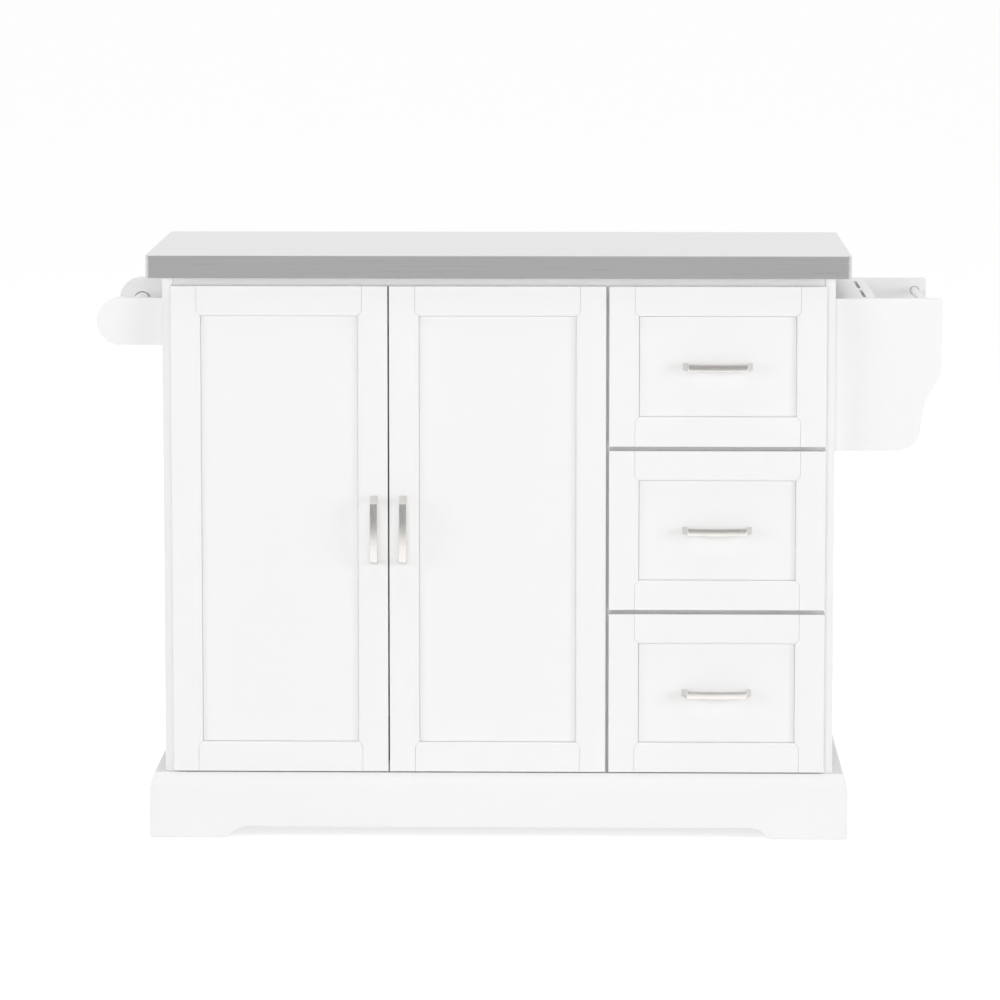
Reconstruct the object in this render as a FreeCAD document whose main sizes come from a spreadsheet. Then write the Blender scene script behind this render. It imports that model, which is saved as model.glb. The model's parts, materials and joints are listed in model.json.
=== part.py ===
"""Kitchen island with a steel worktop, a drop leaf, two doors, three drawers and a rack at each end.

Lengths are in millimetres. +X runs to the right along the front, +Y to the back and +Z up. Each piece
is drawn about the middle of the cabinet, with y = 0 on the front faces of the doors and z = 0 on the
floor. Then it is moved, so that the origin lies on the floor under the middle of the whole island.
"""
import FreeCAD, Part
import math
import os
import re
import Sketcher
from FreeCAD import Placement, Rotation, Vector

SIZES = {
    # the whole island
    "island_high": 920,
    # worktop: a board in a folded steel sheet
    "top_wide": 1094,
    "top_deep": 478,
    "top_thick": 35.5,
    "top_front": 16,
    "steel": 1.2,
    "steel_corner": 8,
    "steel_edge": 1,
    # cabinet
    "cabinet_wide": 1048,
    "cabinet_deep": 400,
    "cabinet_front": 20,
    "board": 16,
    "back_thick": 12,
    "side_low": 20,
    "stretcher_deep": 80,
    "stretcher_back": 2,
    "divider_deep": 60,
    # shelf and its pins
    "shelf_low": 470,
    "shelf_gap": 1,
    "shelf_front": 60,
    "pin_radius": 2.5,
    "pin_deep": 9,
    "pin_out": 8,
    "pin_collar": 4,
    "pin_collar_thick": 0.8,
    "pin_step": 32,
    "pin_steps": 7,
    "pin_inset": 50,
    # plinth with bracket feet
    "plinth_thick": 23.5,
    "plinth_high": 104.5,
    "plinth_gap": 2,
    "slope_in": 8,
    "slope_high": 24.5,
    "slope_round": 60,
    "foot_front": 122,
    "foot_side": 90,
    "arch_high": 18.5,
    "arch_run": 31.5,
    "block_wide": 40,
    "glide_high": 6,
    "glide_radius": 12,
    # door and drawer fronts
    "front_thick": 18,
    "front_low": 107,
    "front_top": 871,
    "front_margin": 14,
    "door_gap": 2.2,
    "middle_gap": 4.6,
    "drawer_gap": 6.5,
    "frame_flat": 40,
    "bevel_wide": 6.4,
    "bevel_deep": 2.6,
    "panel_thick": 6,
    "panel_set": 8,
    "panel_in": 6,
    "groove_deep": 7,
    # door hinges
    "cup_radius": 17.5,
    "cup_deep": 11.5,
    "cup_inset": 22.5,
    "cup_wall": 1.2,
    "cup_plate_long": 46,
    "cup_plate_high": 28,
    "cup_plate_thick": 1.4,
    "hinge_inset": 95,
    "hinge_start": 2,
    "hinge_plate_long": 40,
    "hinge_plate_high": 34,
    "hinge_plate_thick": 2,
    "hinge_arm_long": 62,
    "hinge_arm_high": 14,
    "hinge_arm_thick": 9,
    # pulls
    "pull_inset": 21.6,
    "pull_long": 109,
    "pull_wide": 11.4,
    "pull_out": 28,
    "pull_foot": 8,
    "pull_lean": 7,
    "pull_strap": 4,
    "pull_bow": 3.5,
    # drawer boxes and their runners
    "box_wall": 12,
    "box_deep": 345,
    "box_high": 165,
    "box_up": 34,
    "box_floor": 5,
    "box_floor_up": 10,
    "runner_space": 12.7,
    "runner_long": 350,
    "runner_start": 4,
    "runner_high": 36,
    "runner_sheet": 1.5,
    "runner_reach": 9.5,
    "runner_bar": 24,
    "runner_play": 1,
    # racks at the two ends
    "rack_front": 40,
    "rack_space": 352,
    "rack_board": 15,
    "rack_top": 849,
    "socket_deep": 8,
    "socket_play": 0.05,
    "bracket_reach": 103.5,
    "bracket_high": 74,
    "towel_radius": 12.5,
    "rack_reach": 166.5,
    "rack_low": 610,
    "rack_corner": 3,
    "toe_in": 68,
    "toe_high": 32,
    "toe_round": 36.5,
    "waist_in": 32,
    "waist_high": 56,
    "slope_in_low": 29,
    "waist_round": 102,
    "hip_in_low": 14,
    "hip_low": 98,
    "hip_in": 6,
    "hip_high": 110.7,
    "edge_high": 131.3,
    "hip_round": 38.6,
    "rack_lid_wide": 64,
    "slot_wide": 5,
    "slot_round": 2.2,
    "slot_long": 124,
    "slot_apart": 34,
    "slot_in": 48,
    "slot_shift": 21,
    "rack_wall": 12,
    "rack_shelf_wide": 114,
    "rack_shelf_up": 14,
    "lip_thick": 10,
    "lip_high": 40,
    "guard_radius": 6.3,
    "guard_in": 18,
    "guard_down": 20,
    # drop leaf and its hinges
    "leaf_long": 290,
    "leaf_gap": 0.75,
    "hinge_drop": 4.5,
    "knuckle_radius": 4,
    "knuckle_long": 15,
    "knuckle_gap": 0.3,
    "knuckles": 5,
    "leaf_pin": 2.5,
    "leaf_pin_play": 0.05,
    "leaf_plate": 2,
    "leaf_plate_deep": 34,
    "leaf_hinge_apart": 420,
    # folding stays under the leaf
    "stay_apart": 660,
    "stay_drop": 90,
    "stay_line": 5,
    "stay_wide": 12,
    "stay_thick": 5,
    "stay_eye": 8,
    "stay_pin": 3,
    "stay_ear": 2.5,
    "stay_play": 0.3,
    "stay_plate_wide": 34,
    "stay_plate_high": 56,
    "stay_plate_thick": 3,
    "roller_radius": 7,
    "roller_wide": 2.4,
    "roller_pin": 2.5,
    "channel_long": 148,
    "channel_low": 128,
    "channel_wide": 12,
    "channel_deep": 16,
    "channel_sheet": 2,
}

doc = FreeCAD.newDocument("kitchen_island")
sheet = doc.addObject("Spreadsheet::Sheet", "dims")
for row, (name, size) in enumerate(SIZES.items(), start=1):
    sheet.set(f"A{row}", name)
    sheet.set(f"B{row}", str(size))
    sheet.setAlias(f"B{row}", name)
doc.recompute()

# Places that many pieces share, as rules over the sheet's cells.
side_out = "(cabinet_wide / 2)"
side_in = "(cabinet_wide / 2 - board)"
cabinet_back = "(cabinet_front + cabinet_deep)"
inside_back = "(cabinet_front + cabinet_deep - back_thick)"
top_under = "(island_high - top_thick)"
top_back = "(top_deep - top_front)"
floor_top = "(plinth_high + board)"
front_wide = "((cabinet_wide - 2 * front_margin - door_gap - middle_gap) / 3)"
door_high = "(front_top - front_low)"
drawer_high = "((front_top - front_low - 2 * drawer_gap) / 3)"
door_left_x = f"(front_margin + {front_wide} / 2 - cabinet_wide / 2)"
door_right_x = f"({door_left_x} + {front_wide} + door_gap)"
drawer_x = f"(cabinet_wide / 2 - front_margin - {front_wide} / 2)"
middle_x = f"({drawer_x} - {front_wide} / 2 - middle_gap / 2)"
leaf_axis_z = f"({top_under} - hinge_drop)"
leaf_back = f"({top_back} + hinge_drop + top_thick)"
origin_x = "(bracket_reach - rack_reach) / 2"
origin_y = f"(pull_out - {leaf_back}) / 2"

ALONG_X = Rotation(Vector(0, 1, 0), 90)
ALONG_Y = Rotation(Vector(1, 0, 0), -90)
ALONG_Z = Rotation()
placed = {}
pieces = []


# Helpers that bind a shape to the sheet.

def rule(text):
    """A rule with the sheet's name before each of its cells."""
    return re.sub(r"[a-z_]+", lambda word: f"dims.{word[0]}" if word[0] in SIZES else word[0], text)


def value(text):
    """What a rule comes to now, in millimetres."""
    return float(sheet.evalExpression(rule(text)))


def bind(thing, **sizes):
    for name, text in sizes.items():
        thing.setExpression(name, rule(text))
    return thing


def place(thing, x="0", y="0", z="0"):
    placed[thing.Name] = (x, y, z)
    for axis, text in zip("xyz", (x, y, z)):
        thing.setExpression(f"Placement.Base.{axis}", rule(text))
    return thing


def slab(x, y, z):
    """A box between two rules on each axis."""
    box = doc.addObject("Part::Box", "slab")
    spans = [f"({high}) - ({low})" for low, high in (x, y, z)]
    bind(box, Length=spans[0], Width=spans[1], Height=spans[2])
    return place(box, x[0], y[0], z[0])


def rod(turn, radius, long, x="0", y="0", z="0"):
    """A round bar that starts at a point and runs the way of turn."""
    bar = doc.addObject("Part::Cylinder", "rod")
    bar.Placement = Placement(Vector(), turn)
    bind(bar, Radius=radius, Height=long)
    return place(bar, x, y, z)


def cut(base, tool):
    left = doc.addObject("Part::Cut", "cut")
    left.Base = base
    left.Tool = tool
    return left


def fuse(*things):
    whole = doc.addObject("Part::MultiFuse", "fuse")
    whole.Shapes = list(things)
    return whole


def group(*things):
    """Separate solids that share one sub-part."""
    several = doc.addObject("Part::Compound", "group")
    several.Links = list(things)
    return several


def mirror(thing, normal):
    other = doc.addObject("Part::Mirroring", "mirror")
    other.Source = thing
    other.Base = Vector()
    other.Normal = Vector(*normal)
    return other


def outline(body, plane, corners, rise="0"):
    """A closed sketch on an origin plane of the body. Each corner is two rules, or three where an arc
    leads to it: its radius, with a minus sign where the arc turns clockwise."""
    sketch = body.newObject("Sketcher::SketchObject", "outline")
    sketch.AttachmentSupport = [(next(p for p in body.Origin.OriginFeatures if p.Role == plane), "")]
    sketch.MapMode = "FlatFace"
    sketch.setExpression("AttachmentOffset.Base.z", rule(rise))
    spots = [Vector(value(corner[0]), value(corner[1]), 0) for corner in corners]
    ends = []
    for index, corner in enumerate(corners):
        start, end = spots[index - 1], spots[index]
        if len(corner) == 2:
            sketch.addGeometry(Part.LineSegment(start, end), False)
            ends.append((1, 2))
            continue
        radius = value(corner[2])
        half = (end - start) / 2
        reach = math.sqrt(max(radius ** 2 - half.Length ** 2, 0))
        aside = Vector(-half.y, half.x, 0).normalize() * math.copysign(reach, radius)
        centre = start + half + aside
        angles = [math.atan2(spot.y - centre.y, spot.x - centre.x) for spot in (start, end)]
        if radius < 0:
            angles.reverse()
        circle = Part.Circle(centre, Vector(0, 0, 1), abs(radius))
        sketch.addGeometry(Part.ArcOfCircle(circle, *angles), False)
        ends.append((1, 2) if radius > 0 else (2, 1))
    for index, corner in enumerate(corners):
        following = (index + 1) % len(corners)
        last = ends[index][1]
        sketch.addConstraint(Sketcher.Constraint("Coincident", index, last, following, ends[following][0]))
        for kind, now, text in zip(("DistanceX", "DistanceY"), spots[index], corner):
            spot = sketch.addConstraint(Sketcher.Constraint(kind, -1, 1, index, last, now))
            sketch.setExpression(f"Constraints[{spot}]", rule(text))
        if len(corner) == 3:
            bend = abs(value(corner[2]))
            spot = sketch.addConstraint(Sketcher.Constraint("Radius", index, bend))
            sketch.setExpression(f"Constraints[{spot}]", rule(corner[2].lstrip("-")))
    return sketch


def circles(body, plane, radius, spots, rise="0"):
    """A sketch of equal circles at pairs of rules."""
    sketch = body.newObject("Sketcher::SketchObject", "circles")
    sketch.AttachmentSupport = [(next(p for p in body.Origin.OriginFeatures if p.Role == plane), "")]
    sketch.MapMode = "FlatFace"
    sketch.setExpression("AttachmentOffset.Base.z", rule(rise))
    for index, spot in enumerate(spots):
        middle = Vector(value(spot[0]), value(spot[1]), 0)
        sketch.addGeometry(Part.Circle(middle, Vector(0, 0, 1), value(radius)), False)
        limits = [("Radius", (index,), value(radius), radius)]
        limits.append(("DistanceX", (-1, 1, index, 3), middle.x, spot[0]))
        limits.append(("DistanceY", (-1, 1, index, 3), middle.y, spot[1]))
        for kind, where, now, text in limits:
            limit = sketch.addConstraint(Sketcher.Constraint(kind, *where, now))
            sketch.setExpression(f"Constraints[{limit}]", rule(text))
    return sketch


def pad(body, sketch, long, middle=False, back=False):
    """Material from a sketch, along its normal, to both sides of it, or against it."""
    grown = body.newObject("PartDesign::Pad", "pad")
    grown.Profile = sketch
    grown.Midplane = middle
    grown.Reversed = back
    grown.setExpression("Length", rule(long))
    return grown


def pocket(body, sketch, deep=None, along=False):
    """A recess against the sketch's normal or along it, or right through both ways."""
    recess = body.newObject("PartDesign::Pocket", "pocket")
    recess.Profile = sketch
    recess.Reversed = along
    if deep is None:
        recess.Midplane = True
        recess.Type = 1
    else:
        recess.setExpression("Length", rule(deep))
    return recess


def new_body(name):
    return doc.addObject("PartDesign::Body", name)


def piece(label, *things):
    """Finish one sub-part: its name, and its place about the island's own origin."""
    thing = things[0] if len(things) == 1 else group(*things)
    x, y, z = placed.get(thing.Name, ("0", "0", "0"))
    place(thing, f"{x} + {origin_x}", f"{y} + {origin_y}", z)
    thing.Label = label
    pieces.append(thing)


def rectangle(x, y):
    """The corners of a rectangle between two rules each way."""
    return [(x[0], y[0]), (x[1], y[0]), (x[1], y[1]), (x[0], y[1])]


def round_rectangle(wide, y, radius):
    """A rectangle about the middle, with round corners."""
    side = f"({wide}) / 2"
    low, high = y
    return [
        (f"{side} - {radius}", low),
        (side, f"{low} + {radius}", radius),
        (side, f"{high} - {radius}"),
        (f"{side} - {radius}", high, radius),
        (f"{radius} - {side}", high),
        (f"-{side}", f"{high} - {radius}", radius),
        (f"-{side}", f"{low} + {radius}"),
        (f"{radius} - {side}", low, radius),
    ]


# Cabinet: two sides, a partition, a floor, a back and the stretchers that the worktop is screwed to.

pin_insets = ("pin_inset", "cabinet_deep - back_thick - pin_inset - board")


def upright(x, low, high, deep, pin_face=None):
    """A standing board; pin_face is the side that has rows of holes for shelf pins."""
    body = new_body("upright")
    rear = f"cabinet_front + {deep}"
    pad(body, outline(body, "YZ_Plane", rectangle(("cabinet_front", rear), (low, high))), "board")
    if pin_face:
        rise = "board" if pin_face == "right" else "0"
        lowest = "shelf_low - pin_radius - pin_step * (pin_steps - 1) / 2"
        spots = [(f"cabinet_front + {inset}", lowest) for inset in pin_insets]
        ring = circles(body, "YZ_Plane", "pin_radius", spots, rise)
        holes = pocket(body, ring, "pin_deep", pin_face == "left")
        rows = body.newObject("PartDesign::LinearPattern", "pin_rows")
        rows.Originals = [holes]
        rows.Direction = (holes.Profile[0], ["V_Axis"])
        rows.setExpression("Length", rule("pin_step * (pin_steps - 1)"))
        rows.setExpression("Occurrences", rule("pin_steps"))
        body.Tip = rows
    return place(body, x)


piece("side_panel_left", upright(f"-{side_out}", "side_low", top_under, "cabinet_deep", "right"))
piece("side_panel_right", upright(side_in, "side_low", top_under, "cabinet_deep"))
piece("partition", upright(f"{middle_x} - board / 2", floor_top, f"{top_under} - board",
                           "cabinet_deep - back_thick", "left"))

inside = (f"-{side_in}", side_in)
piece("cabinet_floor", slab(inside, ("cabinet_front", inside_back), ("plinth_high", floor_top)))
piece("cabinet_back", slab(inside, (inside_back, cabinet_back), ("plinth_high", top_under)))
stretcher_z = (f"{top_under} - board", top_under)
front_start = "cabinet_front + stretcher_back"
piece("top_stretchers",
      slab(inside, (front_start, f"{front_start} + stretcher_deep"), stretcher_z),
      slab(inside, (f"{inside_back} - stretcher_deep", inside_back), stretcher_z))

drawer_space = (f"{middle_x} + board / 2", side_in)
dividers = []
for count in (1, 2):
    middle = f"front_low + {count} * {drawer_high} + {count - 0.5} * drawer_gap"
    dividers.append(slab(drawer_space, (front_start, f"{front_start} + divider_deep"),
                         (f"{middle} - board / 2", f"{middle} + board / 2")))
piece("drawer_dividers", *dividers)

# Shelf on four pins in the door compartment.
shelf_x = (f"shelf_gap - {side_in}", f"{middle_x} - board / 2 - shelf_gap")
shelf_y = ("shelf_front", f"{inside_back} - shelf_gap")
piece("shelf", slab(shelf_x, shelf_y, ("shelf_low", "shelf_low + board")))

pins = []
for wall, way in ((f"(-{side_in})", 1), (f"({middle_x} - board / 2)", -1)):
    for inset in pin_insets:
        spot = {"y": f"cabinet_front + {inset}", "z": "shelf_low - pin_radius"}
        start = f"{wall} - pin_deep" if way > 0 else f"{wall} - pin_out"
        collar = wall if way > 0 else f"{wall} - pin_collar_thick"
        pins.append(fuse(rod(ALONG_X, "pin_radius", "pin_deep + pin_out", start, **spot),
                         rod(ALONG_X, "pin_collar", "pin_collar_thick", collar, **spot)))
piece("shelf_pins", *pins)


# Worktop: a board under a folded steel sheet with rounded upright corners.

SAME_HEIGHT = 1e-6


def edges_at(shape, z):
    """Names of the edges that lie flat at one height."""
    names = []
    for index, edge in enumerate(shape.Edges, start=1):
        box = edge.BoundBox
        if abs(box.ZMin - z) < SAME_HEIGHT and abs(box.ZMax - z) < SAME_HEIGHT:
            names.append(f"Edge{index}")
    return names


def worktop(wide, deep, y, z):
    """The core and the steel of a worktop or a leaf, lying flat with its underside at z."""
    outer = round_rectangle(wide, ("0", deep), "steel_corner")
    inner = round_rectangle(f"{wide} - 2 * steel", ("steel", f"{deep} - steel"), "(steel_corner - steel)")
    core = new_body("core")
    pad(core, outline(core, "XY_Plane", inner), "top_thick - steel")
    skin = new_body("skin")
    whole = pad(skin, outline(skin, "XY_Plane", outer), "top_thick")
    doc.recompute()
    edge = skin.newObject("PartDesign::Fillet", "top_edge")
    edge.Base = (whole, edges_at(whole.Shape, value("top_thick")))
    edge.setExpression("Radius", rule("steel_edge"))
    skin.Tip = edge
    pocket(skin, outline(skin, "XY_Plane", inner), "top_thick - steel", True)
    return place(core, "0", y, z), place(skin, "0", y, z)


core, skin = worktop("top_wide", "top_deep", "-top_front", top_under)
piece("worktop_core", core)
piece("worktop_steel", skin)


# Plinth: moulded skirting boards, mitred at the front corners, with an arch between the bracket feet.

def skirting(long, foot, mitre_ends):
    """A skirting board along X about its middle, with its outer face on y = 0."""
    body = new_body("skirting")
    low, thick = "plinth_gap", "plinth_thick"
    section = [("0", low), (thick, low), (thick, "plinth_high"), ("slope_in", "plinth_high"),
               ("0", "plinth_high - slope_high", "slope_round")]
    pad(body, outline(body, "YZ_Plane", section), long, middle=True)
    arch = [(f"{foot} - ({long}) / 2", "0"), (f"({long}) / 2 - {foot}", "0"),
            (f"({long}) / 2 - {foot} - arch_run", "arch_high", "arch_round"),
            (f"{foot} + arch_run - ({long}) / 2", "arch_high"),
            (f"{foot} - ({long}) / 2", "0", "arch_round")]
    arch = [tuple(text.replace("arch_round", arch_round) for text in corner) for corner in arch]
    pocket(body, outline(body, "XZ_Plane", arch[1:]))
    for way in mitre_ends:
        end = f"{way} * ({long}) / 2"
        corner = [(end, "0"), (end, thick), (f"{end} - {way} * plinth_thick", thick)]
        pocket(body, outline(body, "XY_Plane", corner if way > 0 else corner[::-1]))
    return body


arch_round = "((arch_run * arch_run + arch_high * arch_high) / (2 * arch_high))"
plinth_wide = "(cabinet_wide + 2 * plinth_thick)"
plinth_front_y = "(cabinet_front - plinth_thick)"
plinth_side_long = f"({cabinet_back} - {plinth_front_y})"
piece("plinth_front", place(skirting(plinth_wide, "foot_front", (-1, 1)), "0", plinth_front_y))
for label, turn, side in (("plinth_left", -90, -1), ("plinth_right", 90, 1)):
    board = skirting(plinth_side_long, "foot_side", (-side,))
    board.Placement = Placement(Vector(), Rotation(Vector(0, 0, 1), turn))
    piece(label, place(board, f"{side} * {plinth_wide} / 2", f"{plinth_front_y} + {plinth_side_long} / 2"))

rear = new_body("rear_skirt")
rear_foot = f"({side_in} - foot_front)"
rear_corners = [(side_in, "plinth_gap"), (side_in, "plinth_high"), (f"-{side_in}", "plinth_high"),
                (f"-{side_in}", "plinth_gap"), (f"-{rear_foot}", "plinth_gap"),
                (f"-{rear_foot}", "arch_high"), (rear_foot, "arch_high"), (rear_foot, "plinth_gap")]
pad(rear, outline(rear, "XZ_Plane", rear_corners), "board")
piece("plinth_rear", place(rear, "0", cabinet_back))

blocks = []
glides = []
for side in (-1, 1):
    block_x = (f"{side_in} - block_wide", side_in) if side > 0 else (f"-{side_in}", f"block_wide - {side_in}")
    for block_y in (("cabinet_front", "cabinet_front + block_wide"),
                    (f"{cabinet_back} - board - block_wide", f"{cabinet_back} - board")):
        blocks.append(slab(block_x, block_y, ("glide_high", "plinth_high")))
        glides.append(rod(ALONG_Z, "glide_radius", "glide_high",
                          f"{block_x[0]} + block_wide / 2", f"{block_y[0]} + block_wide / 2"))
piece("corner_blocks", *blocks)
piece("foot_glides", *glides)


# Door and drawer fronts: two stiles, two rails with a bevel round the opening, and a set-in panel.

def member_section():
    """Half of a frame member's section: across the member, then from the front to the back."""
    full = "(frame_flat + bevel_wide)"
    floor = f"({full} - groove_deep)"
    return [("0", "0"), ("frame_flat", "0"), (full, "bevel_deep"), (full, "panel_set"), (floor, "panel_set"),
            (floor, "panel_set + panel_thick"), (full, "panel_set + panel_thick"), (full, "front_thick"),
            ("0", "front_thick")]


def stile(wide, high, hinged=False):
    """The left stile of a front that is drawn about its own middle."""
    body = new_body("stile")
    section = [(f"{across} - {wide} / 2", deep) for across, deep in member_section()]
    pad(body, outline(body, "XY_Plane", section), high, middle=True)
    shoulder = f"(frame_flat - {wide} / 2)"
    past = f"({shoulder} + 2 * bevel_wide)"
    for way in (-1, 1):
        end = f"{way} * {high} / 2"
        notch = [(shoulder, end), (past, end), (past, f"{end} - {way} * (frame_flat + 2 * bevel_wide)"),
                 (shoulder, f"{end} - {way} * frame_flat")]
        pocket(body, outline(body, "XZ_Plane", notch if way < 0 else notch[::-1]))
    if hinged:
        spots = [(f"cup_inset - {wide} / 2", f"{way} * ({high} / 2 - hinge_inset)") for way in (-1, 1)]
        pocket(body, circles(body, "XZ_Plane", "cup_radius", spots, "-front_thick"), "cup_deep", True)
    return body


def rail(wide, high):
    """The lower rail, which runs between the stiles."""
    body = new_body("rail")
    section = [(deep, f"{across} - {high} / 2") for across, deep in member_section()]
    pad(body, outline(body, "YZ_Plane", section[::-1]), f"{wide} - 2 * frame_flat", middle=True)
    for way in (-1, 1):
        end = f"{way} * ({wide} / 2 - frame_flat)"
        low, top = f"(frame_flat - {high} / 2)", f"(frame_flat + 2 * bevel_wide - {high} / 2)"
        mitre = [(end, low), (end, top), (f"{end} - {way} * 2 * bevel_wide", top)]
        pocket(body, outline(body, "XZ_Plane", mitre if way > 0 else mitre[::-1]))
    return body


def front_frame(wide, high, hinged=False):
    """The four frame members of a front; the hinged one is on the left."""
    left = stile(wide, high, hinged)
    right = mirror(stile(wide, high) if hinged else left, (1, 0, 0))
    low = rail(wide, high)
    return [left, right, low, mirror(low, (0, 0, 1))]


def front_panel(wide, high):
    half = [f"({size} / 2 - frame_flat - bevel_wide + panel_in)" for size in (wide, high)]
    return slab((f"-{half[0]}", half[0]), ("panel_set", "panel_set + panel_thick"), (f"-{half[1]}", half[1]))


def pull(turn, x, y):
    """A bowed strap on two leaning feet, standing out to the front from y; it may be turned upright."""
    body = new_body("pull")
    top, strap_top = "(pull_bow - pull_out)", "(pull_bow + pull_strap - pull_out)"
    foot, shoulder = "(pull_long / 2)", "(pull_long / 2 - pull_lean)"
    inner, under = "(pull_long / 2 - pull_foot)", "(pull_long / 2 - pull_lean - pull_strap)"
    bow = f"({shoulder} * {shoulder} / (2 * pull_bow) + pull_bow / 2)"
    side = [(f"-{foot}", "0"), (f"-{shoulder}", top), (shoulder, top, bow), (foot, "0"), (inner, "0"),
            (under, strap_top), (f"-{under}", strap_top, "-" + bow), (f"-{inner}", "0")]
    pad(body, outline(body, "XY_Plane", side), "pull_wide", middle=True)
    body.Placement = Placement(Vector(), Rotation(Vector(0, 1, 0), turn))
    return place(body, x, y, "0")


def raised(thing, z):
    """The same thing, lifted to a height."""
    return place(group(thing), "0", "0", z)


def hinge_cup():
    """A steel cup sunk in a door's back, with its plate, on the left edge of a front about its middle."""
    x = f"(cup_inset - {front_wide} / 2)"
    whole = fuse(rod(ALONG_Y, "cup_radius", "cup_deep", x, "front_thick - cup_deep"),
                 slab((f"{x} - cup_plate_high / 2", f"{x} + cup_plate_high / 2"),
                      ("front_thick", "front_thick + cup_plate_thick"),
                      ("-cup_plate_long / 2", "cup_plate_long / 2")))
    return cut(whole, rod(ALONG_Y, "cup_radius - cup_wall", "cup_deep + cup_plate_thick", x,
                          "front_thick - cup_deep + cup_wall"))


door_z = "((front_low + front_top) / 2)"
hinge_up = f"({door_high} / 2 - hinge_inset)"
members = front_frame(front_wide, door_high, hinged=True)
left_frame = group(*members)
left_cups = group(raised(hinge_cup(), hinge_up), raised(hinge_cup(), f"-{hinge_up}"))
door_panel = front_panel(front_wide, door_high)
pull_in = f"({front_wide} / 2 - pull_inset)"
right_frame, right_cups = mirror(left_frame, (1, 0, 0)), mirror(left_cups, (1, 0, 0))
for label, x, pull_x, frame, cups in (("door_left", door_left_x, pull_in, left_frame, left_cups),
                                      ("door_right", door_right_x, f"-{pull_in}", right_frame, right_cups)):
    piece(f"{label}_frame", place(group(frame), x, "0", door_z))
    piece(f"{label}_panel", place(group(door_panel), x, "0", door_z))
    piece(f"{label}_hinge_cups", place(group(cups), x, "0", door_z))
    piece(f"{label}_pull", place(group(pull(90, pull_x, "0")), x, "0", door_z))

arms = []
for wall, way in ((f"(-{side_in})", 1), (f"({middle_x} - board / 2)", -1)):
    for side in (-1, 1):
        z = f"({door_z} + {side} * {hinge_up})"
        start = "cabinet_front + hinge_start"
        flat = [wall, f"{wall} + {way} * hinge_plate_thick"]
        bar = [wall, f"{wall} + {way} * hinge_arm_thick"]
        plate_y = f"{start} + hinge_arm_long - hinge_plate_long"
        arms.append(fuse(
            slab(flat[::way], (plate_y, f"{plate_y} + hinge_plate_long"),
                 (f"{z} - hinge_plate_high / 2", f"{z} + hinge_plate_high / 2")),
            slab(bar[::way], (start, f"{start} + hinge_arm_long"),
                 (f"{z} - hinge_arm_high / 2", f"{z} + hinge_arm_high / 2"))))
piece("hinge_arms", *arms)


# Drawers: a front, a box of four walls and a floor, a pull and the moving halves of the runners.

space_x = f"({middle_x} / 2 + board / 4 + {side_in} / 2)"
space_half = f"({side_in} / 2 - {middle_x} / 2 - board / 4)"
box_half = f"({space_half} - runner_space)"
box_y = ("front_thick", "front_thick + box_deep")
box_low = f"(box_up - {drawer_high} / 2)"


def drawer_box():
    """The box about the middle of its bay, with z = 0 at the middle of the drawer's front."""
    z = (box_low, f"{box_low} + box_high")
    between = (f"box_wall - {box_half}", f"{box_half} - box_wall")
    side = slab((f"-{box_half}", between[0]), box_y, z)
    front = slab(between, (box_y[0], f"{box_y[0]} + box_wall"), z)
    rear = slab(between, (f"{box_y[1]} - box_wall", box_y[1]), z)
    base = slab(between, (f"{box_y[0]} + box_wall", f"{box_y[1]} - box_wall"),
                (f"{box_low} + box_floor_up", f"{box_low} + box_floor_up + box_floor"))
    return group(side, mirror(side, (1, 0, 0)), front, rear, base)


def runner_fixed():
    """A channel screwed to the wall of the bay, open towards the drawer."""
    y = ("cabinet_front + runner_start", "cabinet_front + runner_start + runner_long")
    tall = ("-runner_high / 2", "runner_high / 2")
    whole = slab((f"-{space_half}", f"runner_reach - {space_half}"), y, tall)
    hollow = slab((f"runner_sheet - {space_half}", f"runner_reach - {space_half}"), y,
                  tuple(f"{end} {sign} runner_sheet" for end, sign in zip(tall, "+-")))
    return cut(whole, hollow)


def runner_moving():
    """A bar that slides in the channel, on a plate along the box."""
    plate = slab((f"-{box_half} - runner_sheet", f"-{box_half}"), box_y,
                 ("runner_sheet - runner_high / 2", "runner_high / 2 - runner_sheet"))
    bar = slab((f"runner_sheet + runner_play - {space_half}", f"-{box_half} - runner_sheet"), box_y,
               ("-runner_bar / 2", "runner_bar / 2"))
    return fuse(plate, bar)


drawer_frame = front_frame(front_wide, drawer_high)
drawer_panel = front_panel(front_wide, drawer_high)
box = drawer_box()
fixed, moving = runner_fixed(), runner_moving()
fixed_runners = []
for label, step in (("drawer_bottom", 0), ("drawer_middle", 1), ("drawer_top", 2)):
    z = f"(front_low + ({step} + 0.5) * {drawer_high} + {step} * drawer_gap)"
    piece(f"{label}_frame", place(group(*drawer_frame), drawer_x, "0", z))
    piece(f"{label}_panel", place(group(drawer_panel), drawer_x, "0", z))
    piece(f"{label}_pull", place(group(pull(0, "0", "panel_set")), drawer_x, "0", z))
    piece(f"{label}_box", place(group(box), space_x, "0", z))
    piece(f"{label}_runners", place(group(moving, mirror(moving, (1, 0, 0))), space_x, "0", z))
    fixed_runners.append(place(group(fixed, mirror(fixed, (1, 0, 0))), space_x, "0", z))
piece("runner_channels", *fixed_runners)


# Towel rail on the left end: two round-ended boards and a bar between them.

rear_start = "(rack_front + rack_board + rack_space)"


def end_board(corners, spot, radius, rear):
    """A board across the end of the cabinet with a blind socket on its inner face."""
    body = new_body("end_board")
    pad(body, outline(body, "XZ_Plane", corners), "rack_board")
    ring = circles(body, "XZ_Plane", f"({radius} + socket_play)", [spot], "rack_board" if rear else "0")
    pocket(body, ring, "socket_deep", not rear)
    return body


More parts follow.
